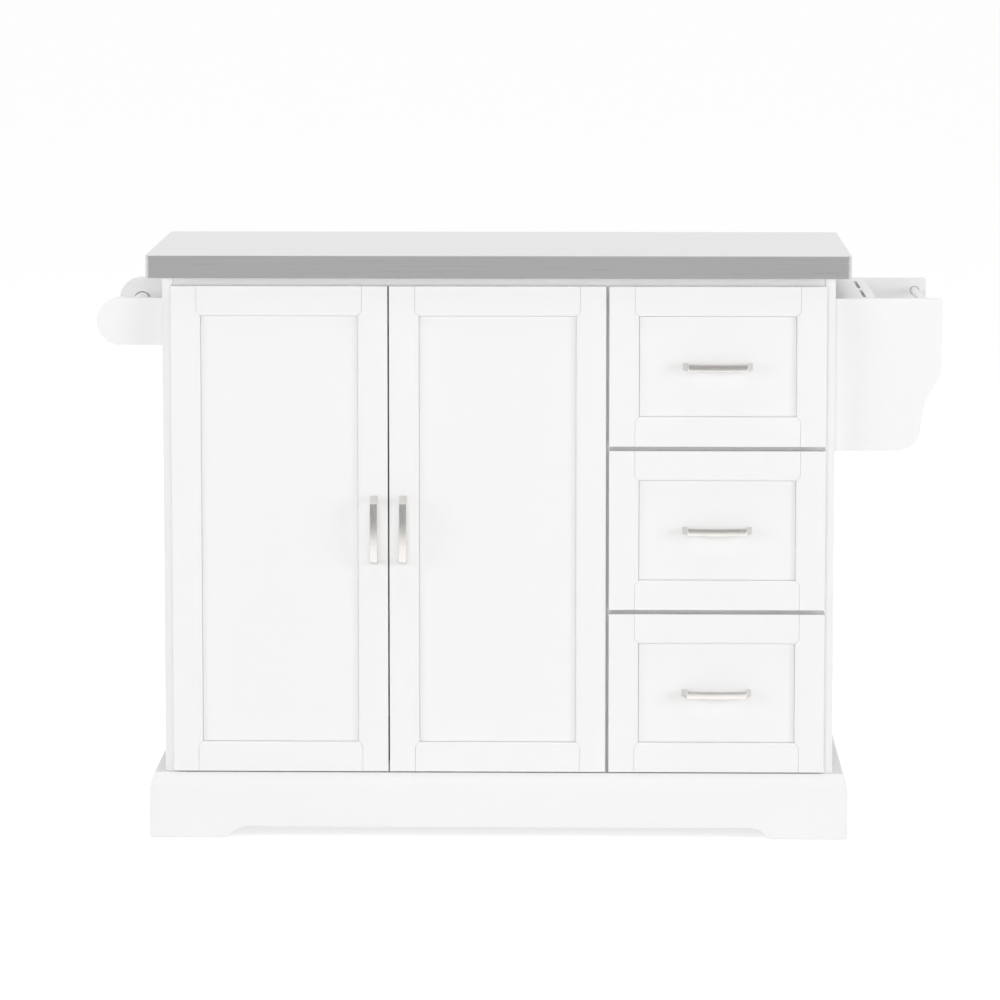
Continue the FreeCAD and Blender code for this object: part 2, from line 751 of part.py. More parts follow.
round_end = "(bracket_high / 2)"
bar_spot = (f"{round_end} - bracket_reach", "0")
bracket = [("0", f"-{round_end}"), ("0", round_end), (bar_spot[0], round_end),
           ("-bracket_reach", "0", round_end), (bar_spot[0], f"-{round_end}", round_end)]
bracket_z = f"(rack_top - {round_end})"
front_back = "rack_front + rack_board"
rear_back = f"{rear_start} + rack_board"
piece("towel_bracket_front",
      place(end_board(bracket, bar_spot, "towel_radius", False), f"-{side_out}", front_back, bracket_z))
piece("towel_bracket_rear",
      place(end_board(bracket, bar_spot, "towel_radius", True), f"-{side_out}", rear_back, bracket_z))
piece("towel_bar", rod(ALONG_Y, "towel_radius", "rack_space + 2 * socket_deep",
                       f"{bar_spot[0]} - {side_out}", f"{front_back} - socket_deep", bracket_z))

# Rack on the right end: two shaped boards, a slotted lid over a narrow bay, and an open bay with a rail.
rack_panel = [("0", "rack_low"), ("rack_reach - toe_in", "rack_low"),
              ("rack_reach - waist_in", "rack_low + toe_high", "toe_round"),
              ("rack_reach - slope_in_low", "rack_low + waist_high"),
              ("rack_reach - hip_in_low", "rack_low + hip_low", "-waist_round"),
              ("rack_reach - hip_in", "rack_low + hip_high"),
              ("rack_reach", "rack_low + edge_high", "hip_round"),
              ("rack_reach", "rack_top - rack_corner"),
              ("rack_reach - rack_corner", "rack_top", "rack_corner"), ("0", "rack_top")]
guard_spot = ("rack_reach - guard_in", "rack_top - guard_down")
for label, y, rear in (("rack_panel_front", front_back, False), ("rack_panel_rear", rear_back, True)):
    piece(label, place(end_board(rack_panel, guard_spot, "guard_radius", rear), side_out, y))
piece("rack_rail", rod(ALONG_Y, "guard_radius", "rack_space + 2 * socket_deep",
                       f"{side_out} + {guard_spot[0]}", f"{front_back} - socket_deep", guard_spot[1]))

lid = new_body("lid")
lid_y = ("-rack_space / 2", "rack_space / 2")
pad(lid, outline(lid, "XY_Plane", rectangle(("-slot_in", "rack_lid_wide - slot_in"), lid_y)), "rack_board")
for way in (-1, 1):
    ends = [f"{way} * slot_apart / 2 - slot_shift", f"{way} * (slot_apart / 2 + slot_long) - slot_shift"]
    slot = outline(lid, "XY_Plane", round_rectangle("slot_wide", ends[::way], "slot_round"))
    pocket(lid, slot)
middle_y = f"{front_back} + rack_space / 2"
piece("rack_lid", place(lid, f"{side_out} + slot_in", middle_y, "rack_top - rack_board"))

shelf_top = "(rack_low + rack_shelf_up + rack_board)"
between = (front_back, rear_start)
wall_x = f"{side_out} + rack_lid_wide"
piece("rack_divider", slab((f"{wall_x} - rack_wall", wall_x), between, (shelf_top, "rack_top - rack_board")))
shelf_out = f"{side_out} + rack_shelf_wide"
lip_z = ("rack_low + rack_shelf_up", "rack_low + rack_shelf_up + lip_high")
piece("rack_shelf",
      slab((side_out, shelf_out), between, ("rack_low + rack_shelf_up", shelf_top)),
      slab((shelf_out, f"{shelf_out} + lip_thick"), between, lip_z))


# Drop leaf: it hangs behind the cabinet from three hinges, with its steel face to the back.

HANGING = Rotation(Vector(1, 0, 0), -90)
leaf_y = f"({top_back} + hinge_drop)"
core, skin = worktop("top_wide", "leaf_long", "0", "0")
for label, thing in (("leaf_core", core), ("leaf_steel", skin)):
    thing.Placement = Placement(Vector(), HANGING)
    piece(label, place(thing, "0", leaf_y, f"{leaf_axis_z} - leaf_gap"))

knuckle_step = "(knuckle_long + knuckle_gap)"
hinge_half = f"(({knuckle_step} * knuckles - knuckle_gap) / 2)"
plate_z = ("hinge_drop - leaf_plate", "hinge_drop")


def hinge_half_plate(knuckles, hole):
    """One half of a butt hinge with its pin on the X axis and its plate lying towards +Y."""
    start = "knuckle_radius + leaf_plate / 4"
    plate = slab((f"-{hinge_half}", hinge_half), (start, f"{start} + leaf_plate_deep"), plate_z)
    solids = [plate]
    for count in knuckles:
        x = f"({count} * {knuckle_step} - {hinge_half})"
        solids.append(slab((x, f"{x} + knuckle_long"), ("0", start), plate_z))
        solids.append(rod(ALONG_X, "knuckle_radius", "knuckle_long", x))
    return cut(fuse(*solids), rod(ALONG_X, hole, f"2 * {hinge_half}", f"-{hinge_half}"))


fixed_half = mirror(hinge_half_plate((0, 2, 4), "leaf_pin"), (0, 1, 0))
moving_half = hinge_half_plate((1, 3), "(leaf_pin + leaf_pin_play)")
moving_half.Placement = Placement(Vector(), HANGING)
hinge_pin = rod(ALONG_X, "leaf_pin", f"2 * {hinge_half}", f"-{hinge_half}")
for label, thing in (("leaf_hinge_fixed", fixed_half), ("leaf_hinge_pins", hinge_pin),
                     ("leaf_hinge_moving", moving_half)):
    row = [place(group(thing), f"{side} * leaf_hinge_apart", top_back, leaf_axis_z) for side in (-1, 0, 1)]
    piece(label, *row)

# Folding stays: a strut turns on the cabinet's back and its rollers run in a channel under the leaf.
stay_y = f"({top_back} - stay_line)"
stay_z = f"({leaf_axis_z} - stay_drop)"
strut_long = "(2 * (stay_drop - stay_line))"


def stay_channel():
    """A channel under the leaf, drawn with the leaf's hinge on the X axis and the leaf raised."""
    y = ("channel_low", "channel_low + channel_long")
    z = ("hinge_drop - channel_sheet - channel_deep", "hinge_drop")
    outer = slab(("-channel_wide / 2 - channel_sheet", "channel_wide / 2 + channel_sheet"), y, z)
    hollow = slab(("-channel_wide / 2", "channel_wide / 2"), y, (z[0], "hinge_drop - channel_sheet"))
    channel = cut(outer, hollow)
    channel.Placement = Placement(Vector(), HANGING)
    return channel


def stay_bracket():
    """A plate with two ears and a riveted pin, about the strut's pivot."""
    wall = f"{cabinet_back} - {stay_y}"
    face = f"{wall} + stay_plate_thick"
    solids = [slab(("-stay_plate_wide / 2", "stay_plate_wide / 2"), (wall, face),
                   ("-stay_plate_high / 2", "stay_plate_high / 2"))]
    inner = "(stay_thick / 2 + stay_play)"
    for x in ((f"-{inner} - stay_ear", f"-{inner}"), (inner, f"{inner} + stay_ear")):
        solids.append(slab(x, (face, "0"), ("-stay_eye", "stay_eye")))
        solids.append(rod(ALONG_X, "stay_eye", "stay_ear", x[0]))
    rivet_half = f"({inner} + 1.5 * stay_ear)"
    solids.append(rod(ALONG_X, "stay_pin", f"2 * {rivet_half}", f"-{rivet_half}"))
    return fuse(*solids)


def stay_strut():
    """The strut hanging from its pivot, and its roller, as two solids."""
    low = f"-{strut_long}"
    flat = [slab(("-stay_thick / 2", "stay_thick / 2"), ("-stay_wide / 2", "stay_wide / 2"), (low, "0"))]
    flat.append(rod(ALONG_X, "stay_eye", "stay_thick", "-stay_thick / 2"))
    flat.append(rod(ALONG_X, "stay_wide / 2", "stay_thick", "-stay_thick / 2", "0", low))
    eye = rod(ALONG_X, "stay_pin + socket_play", "stay_thick", "-stay_thick / 2")
    tip = rod(ALONG_X, "roller_pin + socket_play", "stay_thick", "-stay_thick / 2", "0", low)
    strut = cut(cut(fuse(*flat), eye), tip)
    inner = "(stay_thick / 2 + stay_play)"
    axle_half = f"({inner} + roller_wide)"
    roller = [rod(ALONG_X, "roller_pin", f"2 * {axle_half}", f"-{axle_half}", "0", low)]
    for x in (inner, f"-{inner} - roller_wide"):
        roller.append(rod(ALONG_X, "roller_radius", "roller_wide", x, "0", low))
    return strut, fuse(*roller)


channel, stay_plate, strut_solids = stay_channel(), stay_bracket(), stay_strut()
stay_xs = ("-stay_apart / 2", "stay_apart / 2")
piece("stay_channels", *[place(group(channel), x, top_back, leaf_axis_z) for x in stay_xs])
piece("stay_brackets", *[place(group(stay_plate), x, stay_y, stay_z) for x in stay_xs])
for label, x in zip(("left", "right"), stay_xs):
    piece(f"stay_{label}", place(group(*strut_solids), x, stay_y, stay_z))


# Check every object, then write each sub-part to its own file.

doc.recompute()
failed = [thing.Name for thing in doc.Objects if {"Invalid", "Error"} & set(thing.State)]
if failed:
    raise SystemExit(f"objects that failed: {failed}")
for thing in pieces:
    if thing.Shape.isNull() or not thing.Shape.isValid():
        raise SystemExit(f"{thing.Label} has no valid shape")
os.makedirs("parts", exist_ok=True)
for thing in pieces:
    thing.Shape.exportStep(f"parts/{thing.Label}.step")
whole = Part.makeCompound([thing.Shape for thing in pieces]).BoundBox
print(len(pieces), "sub-parts;", len(doc.Objects), "objects")
print("x", round(whole.XMin, 2), round(whole.XMax, 2), "y", round(whole.YMin, 2), round(whole.YMax, 2),
      "z", round(whole.ZMin, 2), round(whole.ZMax, 2))
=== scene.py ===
import bmesh
import bpy
import json
import math
from contextlib import contextmanager
from mathutils import Matrix, Vector

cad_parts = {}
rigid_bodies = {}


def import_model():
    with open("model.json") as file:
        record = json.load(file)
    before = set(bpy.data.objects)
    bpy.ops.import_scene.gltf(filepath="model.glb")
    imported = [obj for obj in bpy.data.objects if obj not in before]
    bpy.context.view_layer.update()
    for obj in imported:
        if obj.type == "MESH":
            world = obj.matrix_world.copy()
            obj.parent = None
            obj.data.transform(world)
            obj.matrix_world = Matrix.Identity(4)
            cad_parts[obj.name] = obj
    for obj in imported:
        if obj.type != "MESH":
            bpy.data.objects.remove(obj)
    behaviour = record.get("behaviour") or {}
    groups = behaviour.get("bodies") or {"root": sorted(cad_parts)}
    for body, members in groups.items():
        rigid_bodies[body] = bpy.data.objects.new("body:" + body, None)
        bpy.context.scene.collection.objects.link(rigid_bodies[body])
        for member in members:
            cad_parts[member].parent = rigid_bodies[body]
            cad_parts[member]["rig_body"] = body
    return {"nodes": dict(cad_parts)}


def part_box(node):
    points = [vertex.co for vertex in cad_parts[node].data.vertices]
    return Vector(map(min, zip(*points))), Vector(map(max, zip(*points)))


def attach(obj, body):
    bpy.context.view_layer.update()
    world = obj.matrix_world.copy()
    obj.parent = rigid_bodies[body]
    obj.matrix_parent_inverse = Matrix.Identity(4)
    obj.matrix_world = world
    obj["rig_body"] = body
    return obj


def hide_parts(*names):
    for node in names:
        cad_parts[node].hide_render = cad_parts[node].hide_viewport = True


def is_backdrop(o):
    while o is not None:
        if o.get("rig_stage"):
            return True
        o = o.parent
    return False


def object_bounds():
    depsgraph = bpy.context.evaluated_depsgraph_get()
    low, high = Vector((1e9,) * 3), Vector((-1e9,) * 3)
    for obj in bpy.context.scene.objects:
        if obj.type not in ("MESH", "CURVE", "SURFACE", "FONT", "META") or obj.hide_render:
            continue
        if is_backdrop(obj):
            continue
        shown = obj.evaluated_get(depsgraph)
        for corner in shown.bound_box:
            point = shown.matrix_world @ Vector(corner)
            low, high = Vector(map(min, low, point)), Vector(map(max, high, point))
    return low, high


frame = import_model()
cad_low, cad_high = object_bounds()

# Viewpoint. The photograph was taken from the front with a long lens, from above the worktop and a
# little to the right of the middle, so the towel rail and the rack both show their far boards.
CAMERA_DOWN, CAMERA_TURN = 6.462, 1.005  # degrees
camera_data = bpy.data.cameras.new("camera")
camera_data.lens = 173.5
camera_data.shift_y = -0.1
camera = bpy.data.objects.new("camera", camera_data)
camera.location = (0.1017, -7.6801, 1.537)
camera.rotation_euler = (math.radians(90 - CAMERA_DOWN), 0, math.radians(CAMERA_TURN))
bpy.context.scene.collection.objects.link(camera)
bpy.context.scene.camera = camera
bpy.context.scene.view_settings.view_transform = "Standard"


# Floor and light. A plain pale studio floor that runs out to a white world, lit by the world itself
# and by large soft lamps. The white that the camera and mirrors see adds no light to the island.
def linear(code):
    """The linear colour of an sRGB hex value."""
    parts = [int(code[place:place + 2], 16) / 255 for place in (1, 3, 5)]
    return [part / 12.92 if part <= 0.04045 else ((part + 0.055) / 1.055) ** 2.4 for part in parts] + [1]


def add(tree, kind, settings=None, links=None):
    """A shader node. A setting is an input's value or an attribute; a link feeds an input."""
    node = tree.nodes.new("ShaderNode" + kind)
    for name, setting in (settings or {}).items():
        if isinstance(name, int) or name in node.inputs:
            node.inputs[name].default_value = setting
        else:
            setattr(node, name, setting)
    for name, source in (links or {}).items():
        tree.links.new(source, node.inputs[name])
    return node


def seen(tree):
    """1 for what the camera sees, straight, in a reflection or through glass."""
    path = add(tree, "LightPath")
    either = add(tree, "Math", {"operation": "MAXIMUM"},
                 {0: path.outputs["Is Camera Ray"], 1: path.outputs["Is Glossy Ray"]})
    return add(tree, "Math", {"operation": "MAXIMUM"},
               {0: either.outputs[0], 1: path.outputs["Is Transmission Ray"]}).outputs[0]


world = bpy.data.worlds.new("studio")
world.use_nodes = True
bpy.context.scene.world = world
tree = world.node_tree
tree.nodes.clear()
WORLD_SOFT, WORLD_WHITE = 0.3, 1.0
soft = add(tree, "Background", {"Color": linear("#FFFFFF"), "Strength": WORLD_SOFT})
white = add(tree, "Background", {"Color": linear("#FFFFFF"), "Strength": WORLD_WHITE})
sky = add(tree, "MixShader", None, {0: seen(tree), 1: soft.outputs[0], 2: white.outputs[0]})
add(tree, "OutputWorld", None, {0: sky.outputs[0]})

LAMPS = (
    # name, place, width, power in watts
    ("front", (-0.2, -6.5, 1.45), 2.6, 112),
    ("key", (-4.2, -2.8, 1.2), 2.0, 44),
    ("fill", (4.2, -2.8, 1.2), 2.0, 57),
    ("top", (0.0, -0.8, 4.2), 3.0, 46),
    ("rim", (-0.1, 4.4, 3.0), 4.5, 64),
)
centre = (cad_low + cad_high) / 2
for name, spot, wide, watts in LAMPS:
    lamp_data = bpy.data.lights.new(name, "AREA")
    lamp_data.shape = "DISK"
    lamp_data.size = wide
    lamp_data.energy = watts
    lamp = bpy.data.objects.new(name, lamp_data)
    lamp.location = spot
    lamp.rotation_euler = (centre - Vector(spot)).to_track_quat("-Z", "Y").to_euler()
    lamp.visible_camera = lamp.visible_glossy = False
    bpy.context.scene.collection.objects.link(lamp)

FLOOR_WIDE, FLOOR_LIFT = 120, 0.74
bpy.ops.object.select_all(action="DESELECT")
bpy.ops.mesh.primitive_plane_add(size=FLOOR_WIDE, location=(0, 0, 0))
floor = bpy.context.object
floor.name = "floor"
floor_paint = bpy.data.materials.new("pale_floor")
floor_paint.use_nodes = True
tree = floor_paint.node_tree
tree.nodes.clear()
matt = add(tree, "BsdfDiffuse", {"Color": linear("#E9E9E8")})
lift = add(tree, "Emission", {"Color": linear("#FFFFFF"), "Strength": FLOOR_LIFT})
dark = add(tree, "Emission", {"Color": linear("#000000"), "Strength": 0})
glow = add(tree, "MixShader", None, {0: seen(tree), 1: dark.outputs[0], 2: lift.outputs[0]})
both = add(tree, "AddShader", None, {0: matt.outputs[0], 1: glow.outputs[0]})
add(tree, "OutputMaterial", None, {0: both.outputs[0]})
floor.data.materials.append(floor_paint)
floor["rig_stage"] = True

# A low dark curtain in front of the island, which gives the metal something to mirror. It neither
# lights nor shades, and the camera looks through it. What hangs below the floor is never seen.
CURTAIN_AWAY, CURTAIN_WIDE, CURTAIN_TOP, CURTAIN_DIM = 3.0, 16.0, 1.2, 0.42
bpy.ops.object.select_all(action="DESELECT")
bpy.ops.mesh.primitive_plane_add(size=CURTAIN_WIDE, rotation=(math.pi / 2, 0, 0),
                                 location=(0, -CURTAIN_AWAY, CURTAIN_TOP - CURTAIN_WIDE / 2))
curtain = bpy.context.object
curtain.name = "curtain"
curtain.visible_camera = curtain.visible_diffuse = curtain.visible_shadow = False
curtain_cloth = bpy.data.materials.new("dim_curtain")
curtain_cloth.use_nodes = True
tree = curtain_cloth.node_tree
tree.nodes.clear()
dim = add(tree, "Emission", {"Color": linear("#FFFFFF"), "Strength": CURTAIN_DIM})
add(tree, "OutputMaterial", None, {0: dim.outputs[0]})
curtain.data.materials.append(curtain_cloth)
curtain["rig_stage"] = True


# Cabinet boards: sides, partition, floor, back, stretchers, dividers and shelf. Panels sawn to size,
# edged, and finished white. Their edges are eased by hand, which is what catches the light.
MM = 0.001
TINY = 1e-5
WELD = 1e-6
EASED = 0.6 * MM
FACING = 0.9  # a face points a way when its normal has this share of it
FLAT, SHARP, ROUND = math.radians(0.3), math.radians(30), math.radians(50)


def surface(name, colour, rough, metallic=0.0):
    """A material with one surface shader; gives the material, its tree, the shader and the place."""
    made = bpy.data.materials.new(name)
    made.use_nodes = True
    tree = made.node_tree
    shader = tree.nodes["Principled BSDF"]
    shader.inputs["Base Color"].default_value = linear(colour)
    shader.inputs["Roughness"].default_value = rough
    shader.inputs["Metallic"].default_value = metallic
    return made, tree, shader, add(tree, "TexCoord").outputs["Object"]


@contextmanager
def edit(piece, kind="VERT", pick=None):
    """Edit mode on one piece, with the corners, edges or faces that pick chooses selected, or all."""
    bpy.ops.object.select_all(action="DESELECT")
    bpy.context.view_layer.objects.active = piece
    piece.select_set(True)
    bpy.ops.object.mode_set(mode="EDIT")
    bpy.ops.mesh.select_mode(type=kind)
    bpy.ops.mesh.select_all(action="DESELECT" if pick else "SELECT")
    if pick:
        mesh = bmesh.from_edit_mesh(piece.data)
        parts = {"VERT": mesh.verts, "EDGE": mesh.edges, "FACE": mesh.faces}[kind]
        for part in [part for part in parts if pick(part)]:
            part.select_set(True)
        bmesh.update_edit_mesh(piece.data)
    yield
    bpy.ops.object.mode_set(mode="OBJECT")


def apply(piece, kind, **settings):
    """Give a piece one modifier and apply it."""
    bpy.ops.object.select_all(action="DESELECT")
    bpy.context.view_layer.objects.active = piece
    piece.select_set(True)
    modifier = piece.modifiers.new(kind.lower(), kind)
    for name, setting in settings.items():
        setattr(modifier, name, setting)
    bpy.ops.object.modifier_apply(modifier=modifier.name)


def ease(piece, radius=EASED, steps=2):
    """Round every sharp edge, and keep the flat faces flat to the light."""
    apply(piece, "BEVEL", width=radius, segments=steps, limit_method="ANGLE", angle_limit=SHARP)
    bpy.ops.object.shade_smooth_by_angle(angle=ROUND)
    apply(piece, "WEIGHTED_NORMAL", keep_sharp=True)


def settle(piece, material, body, slot, *nodes):
    """Give a finished piece its material and its body, and hide the nodes that it stands for. The slot is not
    used.
    """
    piece.data.materials.clear()
    piece.data.materials.append(material)
    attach(piece, body)
    if nodes:
        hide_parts(*nodes)
    return piece


def body_of(node):
    """The body that a node of the construction rides on."""
    return frame["nodes"][node]["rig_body"]


def carve(piece, *tools):
    """Cut some tools out of a piece."""
    for tool in tools:
        apply(piece, "BOOLEAN", operation="DIFFERENCE", solver="EXACT", object=tool)
        bpy.data.objects.remove(tool)


def from_frame(node, suffix, material, slot, radius=EASED, steps=2, tools=()):
    """A construction piece's own shape, welded, cut by some tools, with its edges eased."""
    piece = bpy.data.objects.new(f"{node}_{suffix}", frame["nodes"][node].data.copy())
    bpy.context.scene.collection.objects.link(piece)
    with edit(piece):
        bpy.ops.mesh.remove_doubles(threshold=WELD)
        bpy.ops.mesh.dissolve_limited(angle_limit=FLAT)
    carve(piece, *tools)
    ease(piece, radius, steps)
    return settle(piece, material, body_of(node), slot, node)


# Satin lacquer on fibreboard, sprayed. A soft sheen and a faint orange peel, drawn 4 mm across
# because the real one, under 1 mm, is too fine to show.
lacquer, tree, shader, place = surface("white_lacquer", "#F7F7F7", 0.38)
peel = add(tree, "TexNoise", {"Scale": 1 / (4 * MM), "Detail": 2}, {"Vector": place})
bump = add(tree, "Bump", {"Strength": 0.05, "Distance": 0.2 * MM}, {"Height": peel.outputs[0]})
tree.links.new(bump.outputs[0], shader.inputs["Normal"])
cloud = add(tree, "TexNoise", {"Scale": 1 / (110 * MM), "Detail": 3}, {"Vector": place})
sheen = add(tree, "MapRange", {"To Min": 0.34, "To Max": 0.44}, {"Value": cloud.outputs[0]})
tree.links.new(sheen.outputs[0], shader.inputs["Roughness"])

# Melamine face on particle board, pressed. Matt, with a fine pearl grain, drawn 2 mm across.
melamine, tree, shader, place = surface("white_melamine", "#F3F3F3", 0.55)
pearl = add(tree, "TexNoise", {"Scale": 1 / (2 * MM), "Detail": 1}, {"Vector": place})
bump = add(tree, "Bump", {"Strength": 0.12, "Distance": 0.1 * MM}, {"Height": pearl.outputs[0]})
tree.links.new(bump.outputs[0], shader.inputs["Normal"])

for node in ("side_panel_left", "side_panel_right", "cabinet_back", "top_stretchers"):
    from_frame(node, "board", lacquer, "white_lacquer")
for node in ("partition", "cabinet_floor", "drawer_dividers", "shelf"):
    from_frame(node, "board", melamine, "white_melamine")


# Screws: pan heads with a cross recess, in zinc plated steel. One is modelled and copied wherever a
# plate or the back panel is held.
HEAD_RADIUS, HEAD_HIGH, HEAD_ROUND, HEAD_SIDES = 4 * MM, 2.2 * MM, 1.5 * MM, 20
CROSS_LONG, CROSS_WIDE, CROSS_DEEP, CROSS_TURN = 4.4 * MM, 1.1 * MM, 1.4 * MM, 20
BACK_INSET, BACK_ACROSS, BACK_UP = 9 * MM, 6, 5


def block(name, low, high):
    """A new block between two corners, to be shaped."""
    low, high = Vector(low), Vector(high)
    bpy.ops.object.select_all(action="DESELECT")
    bpy.ops.mesh.primitive_cube_add(size=1, location=(low + high) / 2, scale=high - low)
    bpy.ops.object.transform_apply(location=True, rotation=True, scale=True)
    bpy.context.object.name = name
    return bpy.context.object


def rod(name, radius, start, way, sides=32):
    """A new round bar that starts at a point and runs along a vector, to be shaped."""
    way = Vector(way)
    turn = way.to_track_quat("Z", "Y").to_euler()
    bpy.ops.object.select_all(action="DESELECT")
    bpy.ops.mesh.primitive_cylinder_add(vertices=sides, radius=radius, depth=way.length,
                                        location=Vector(start) + way / 2, rotation=turn)
    bpy.ops.object.transform_apply(location=True, rotation=True, scale=True)
    bpy.context.object.name = name
    return bpy.context.object


def join(name, parts):
    """Make one piece of several."""
    bpy.ops.object.select_all(action="DESELECT")
    for part in parts:
        part.select_set(True)
    bpy.context.view_layer.objects.active = parts[0]
    if len(parts) > 1:
        bpy.ops.object.join()
    parts[0].name = name
    return parts[0]


def copy(piece, matrix):
    """Another of the same piece, with its own mesh, turned and moved."""
    other = bpy.data.objects.new(piece.name, piece.data.copy())
    other.data.transform(matrix)
    bpy.context.scene.collection.objects.link(other)
    return other


# Zinc plated steel, pressed and passivated. A cool grey with a fine cloudy grain, 3 mm across.
zinc, tree, shader, place = surface("zinc_plate", "#B9BCC0", 0.36, 1.0)
grain = add(tree, "TexNoise", {"Scale": 1 / (3 * MM), "Detail": 3}, {"Vector": place})
dull = add(tree, "MapRange", {"To Min": 0.28, "To Max": 0.44}, {"Value": grain.outputs[0]})
tree.links.new(dull.outputs[0], shader.inputs["Roughness"])
tint = add(tree, "ValToRGB", None, {"Fac": grain.outputs[0]})
tint.color_ramp.elements[0].color = linear("#AEB2B8")
tint.color_ramp.elements[1].color = linear("#C4C6C6")
tree.links.new(tint.outputs[0], shader.inputs["Base Color"])

screw = rod("screw", HEAD_RADIUS, (0, 0, 0), (0, 0, HEAD_HIGH), HEAD_SIDES)
with edit(screw, "FACE", lambda face: face.normal.z > FACING):
    bpy.ops.mesh.bevel(offset=HEAD_ROUND, segments=3, affect="EDGES")
for angle in (0, 90):
    cross = block("cross", (-CROSS_LONG / 2, -CROSS_WIDE / 2, HEAD_HIGH - CROSS_DEEP),
                  (CROSS_LONG / 2, CROSS_WIDE / 2, HEAD_HIGH + CROSS_DEEP))
    cross.data.transform(Matrix.Rotation(math.radians(angle + CROSS_TURN), 4, "Z"))
    carve(screw, cross)
bpy.ops.object.select_all(action="DESELECT")
bpy.context.view_layer.objects.active = screw
screw.select_set(True)
bpy.ops.object.shade_smooth_by_angle(angle=SHARP)


def screws(name, body, spots, way, size=1.0):
    """Screw heads at some spots of a body, all facing one way."""
    turn = Vector(way).to_track_quat("Z", "Y").to_matrix().to_4x4() @ Matrix.Scale(size, 4)
    heads = [copy(screw, Matrix.Translation(spot) @ turn) for spot in spots]
    return settle(join(name, heads), zinc, body, "zinc_steel")


def spread(low, high, count):
    """Evenly spaced places between two, ends included, each in from its edge."""
    step = (high - low - 2 * BACK_INSET) / (count - 1)
    return [low + BACK_INSET + place * step for place in range(count)]


back_low, back_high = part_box("cabinet_back")
across, upward = spread(back_low.x, back_high.x, BACK_ACROSS), spread(back_low.z, back_high.z, BACK_UP)
spots = [(x, back_high.y, z) for x in across for z in (upward[0], upward[-1])]
spots += [(x, back_high.y, z) for x in (across[0], across[-1]) for z in upward[1:-1]]
screws("back_screws", "cabinet", spots, (0, 1, 0))


# Plinth: moulded skirting boards with a sloped top edge, mitred at the front corners, with an arch
# between the feet. Lacquered fibreboard on softwood corner blocks with plastic glides.
for node in ("plinth_front", "plinth_left", "plinth_right", "plinth_rear"):
    from_frame(node, "skirting", lacquer, "white_lacquer", 1 * MM, 3)

# Plain softwood, sawn and planed. Straw brown with straight darker growth rings, 6 mm apart.
softwood, tree, shader, place = surface("raw_softwood", "#C9A06A", 0.7)
along = add(tree, "Mapping", {"Scale": (1 / (6 * MM), 1 / (6 * MM), 1 / (120 * MM))}, {"Vector": place})
rings = add(tree, "TexNoise", {"Scale": 1.0, "Detail": 4, "Distortion": 0.6}, {"Vector": along.outputs[0]})
tone = add(tree, "ValToRGB", None, {"Fac": rings.outputs[0]})
tone.color_ramp.elements[0].color = linear("#B4854F")
tone.color_ramp.elements[0].position = 0.35
tone.color_ramp.elements[1].color = linear("#D9B583")
tone.color_ramp.elements[1].position = 0.65
tree.links.new(tone.outputs[0], shader.inputs["Base Color"])
bump = add(tree, "Bump", {"Strength": 0.2, "Distance": 0.3 * MM}, {"Height": rings.outputs[0]})
tree.links.new(bump.outputs[0], shader.inputs["Normal"])
from_frame("corner_blocks", "wood", softwood, "raw_wood", 1 * MM)

# Nylon glide, moulded. Near black with a dull moulded grain, 1 mm across.
nylon, tree, shader, place = surface("moulded_nylon", "#232323", 0.5)
grain = add(tree, "TexNoise", {"Scale": 1 / (1 * MM), "Detail": 1}, {"Vector": place})
bump = add(tree, "Bump", {"Strength": 0.2, "Distance": 0.1 * MM}, {"Height": grain.outputs[0]})
tree.links.new(bump.outputs[0], shader.inputs["Normal"])
from_frame("foot_glides", "pad", nylon, "dark_plastic", 1.2 * MM, 3)


# Worktop: a faced board in a folded stainless steel sheet. Its upright corners are folded to a small
# radius and welded, its edges are softened, and the whole is brushed along its length.
STEEL_SHEET = 1.2 * MM
STEEL_CORNER = 8 * MM
STEEL_EDGE = 1 * MM


def note_brushing(piece):
    """Note where each face lies along and across its brushing, which the metal's material reads."""
    lie = piece.data.uv_layers.new(name="brushing")
    for face in piece.data.polygons:
        for spot in face.loop_indices:
            x, y, z = piece.data.vertices[piece.data.loops[spot].vertex_index].co
            lie.data[spot].uv = (y, z) if abs(face.normal.x) > 0.7 else (x, y + z)


# Stainless steel, brushed with a fine belt. Grey, with long faint hairlines 1.6 mm apart, drawn
# coarser than the real 0.1 mm ones, which are too fine to show.
steel, tree, shader, place = surface("brushed_stainless", "#DCDCDC", 0.29, 1.0)
lie = add(tree, "UVMap", {"uv_map": "brushing"})
stretch = add(tree, "Mapping", {"Scale": (1 / (300 * MM), 1 / (1.6 * MM), 1)}, {"Vector": lie.outputs[0]})
brush = add(tree, "TexNoise", {"Scale": 1.0, "Detail": 3}, {"Vector": stretch.outputs[0]})
hair = add(tree, "MapRange", {"To Min": 0.24, "To Max": 0.34}, {"Value": brush.outputs[0]})
tree.links.new(hair.outputs[0], shader.inputs["Roughness"])
bump = add(tree, "Bump", {"Strength": 0.05, "Distance": 0.1 * MM}, {"Height": brush.outputs[0]})
tree.links.new(bump.outputs[0], shader.inputs["Normal"])
tint = add(tree, "ValToRGB", None, {"Fac": brush.outputs[0]})
tint.color_ramp.elements[0].color = linear("#DADADA")
tint.color_ramp.elements[0].position = 0.3
tint.color_ramp.elements[1].color = linear("#DEDEDE")
tint.color_ramp.elements[1].position = 0.7
tree.links.new(tint.outputs[0], shader.inputs["Base Color"])


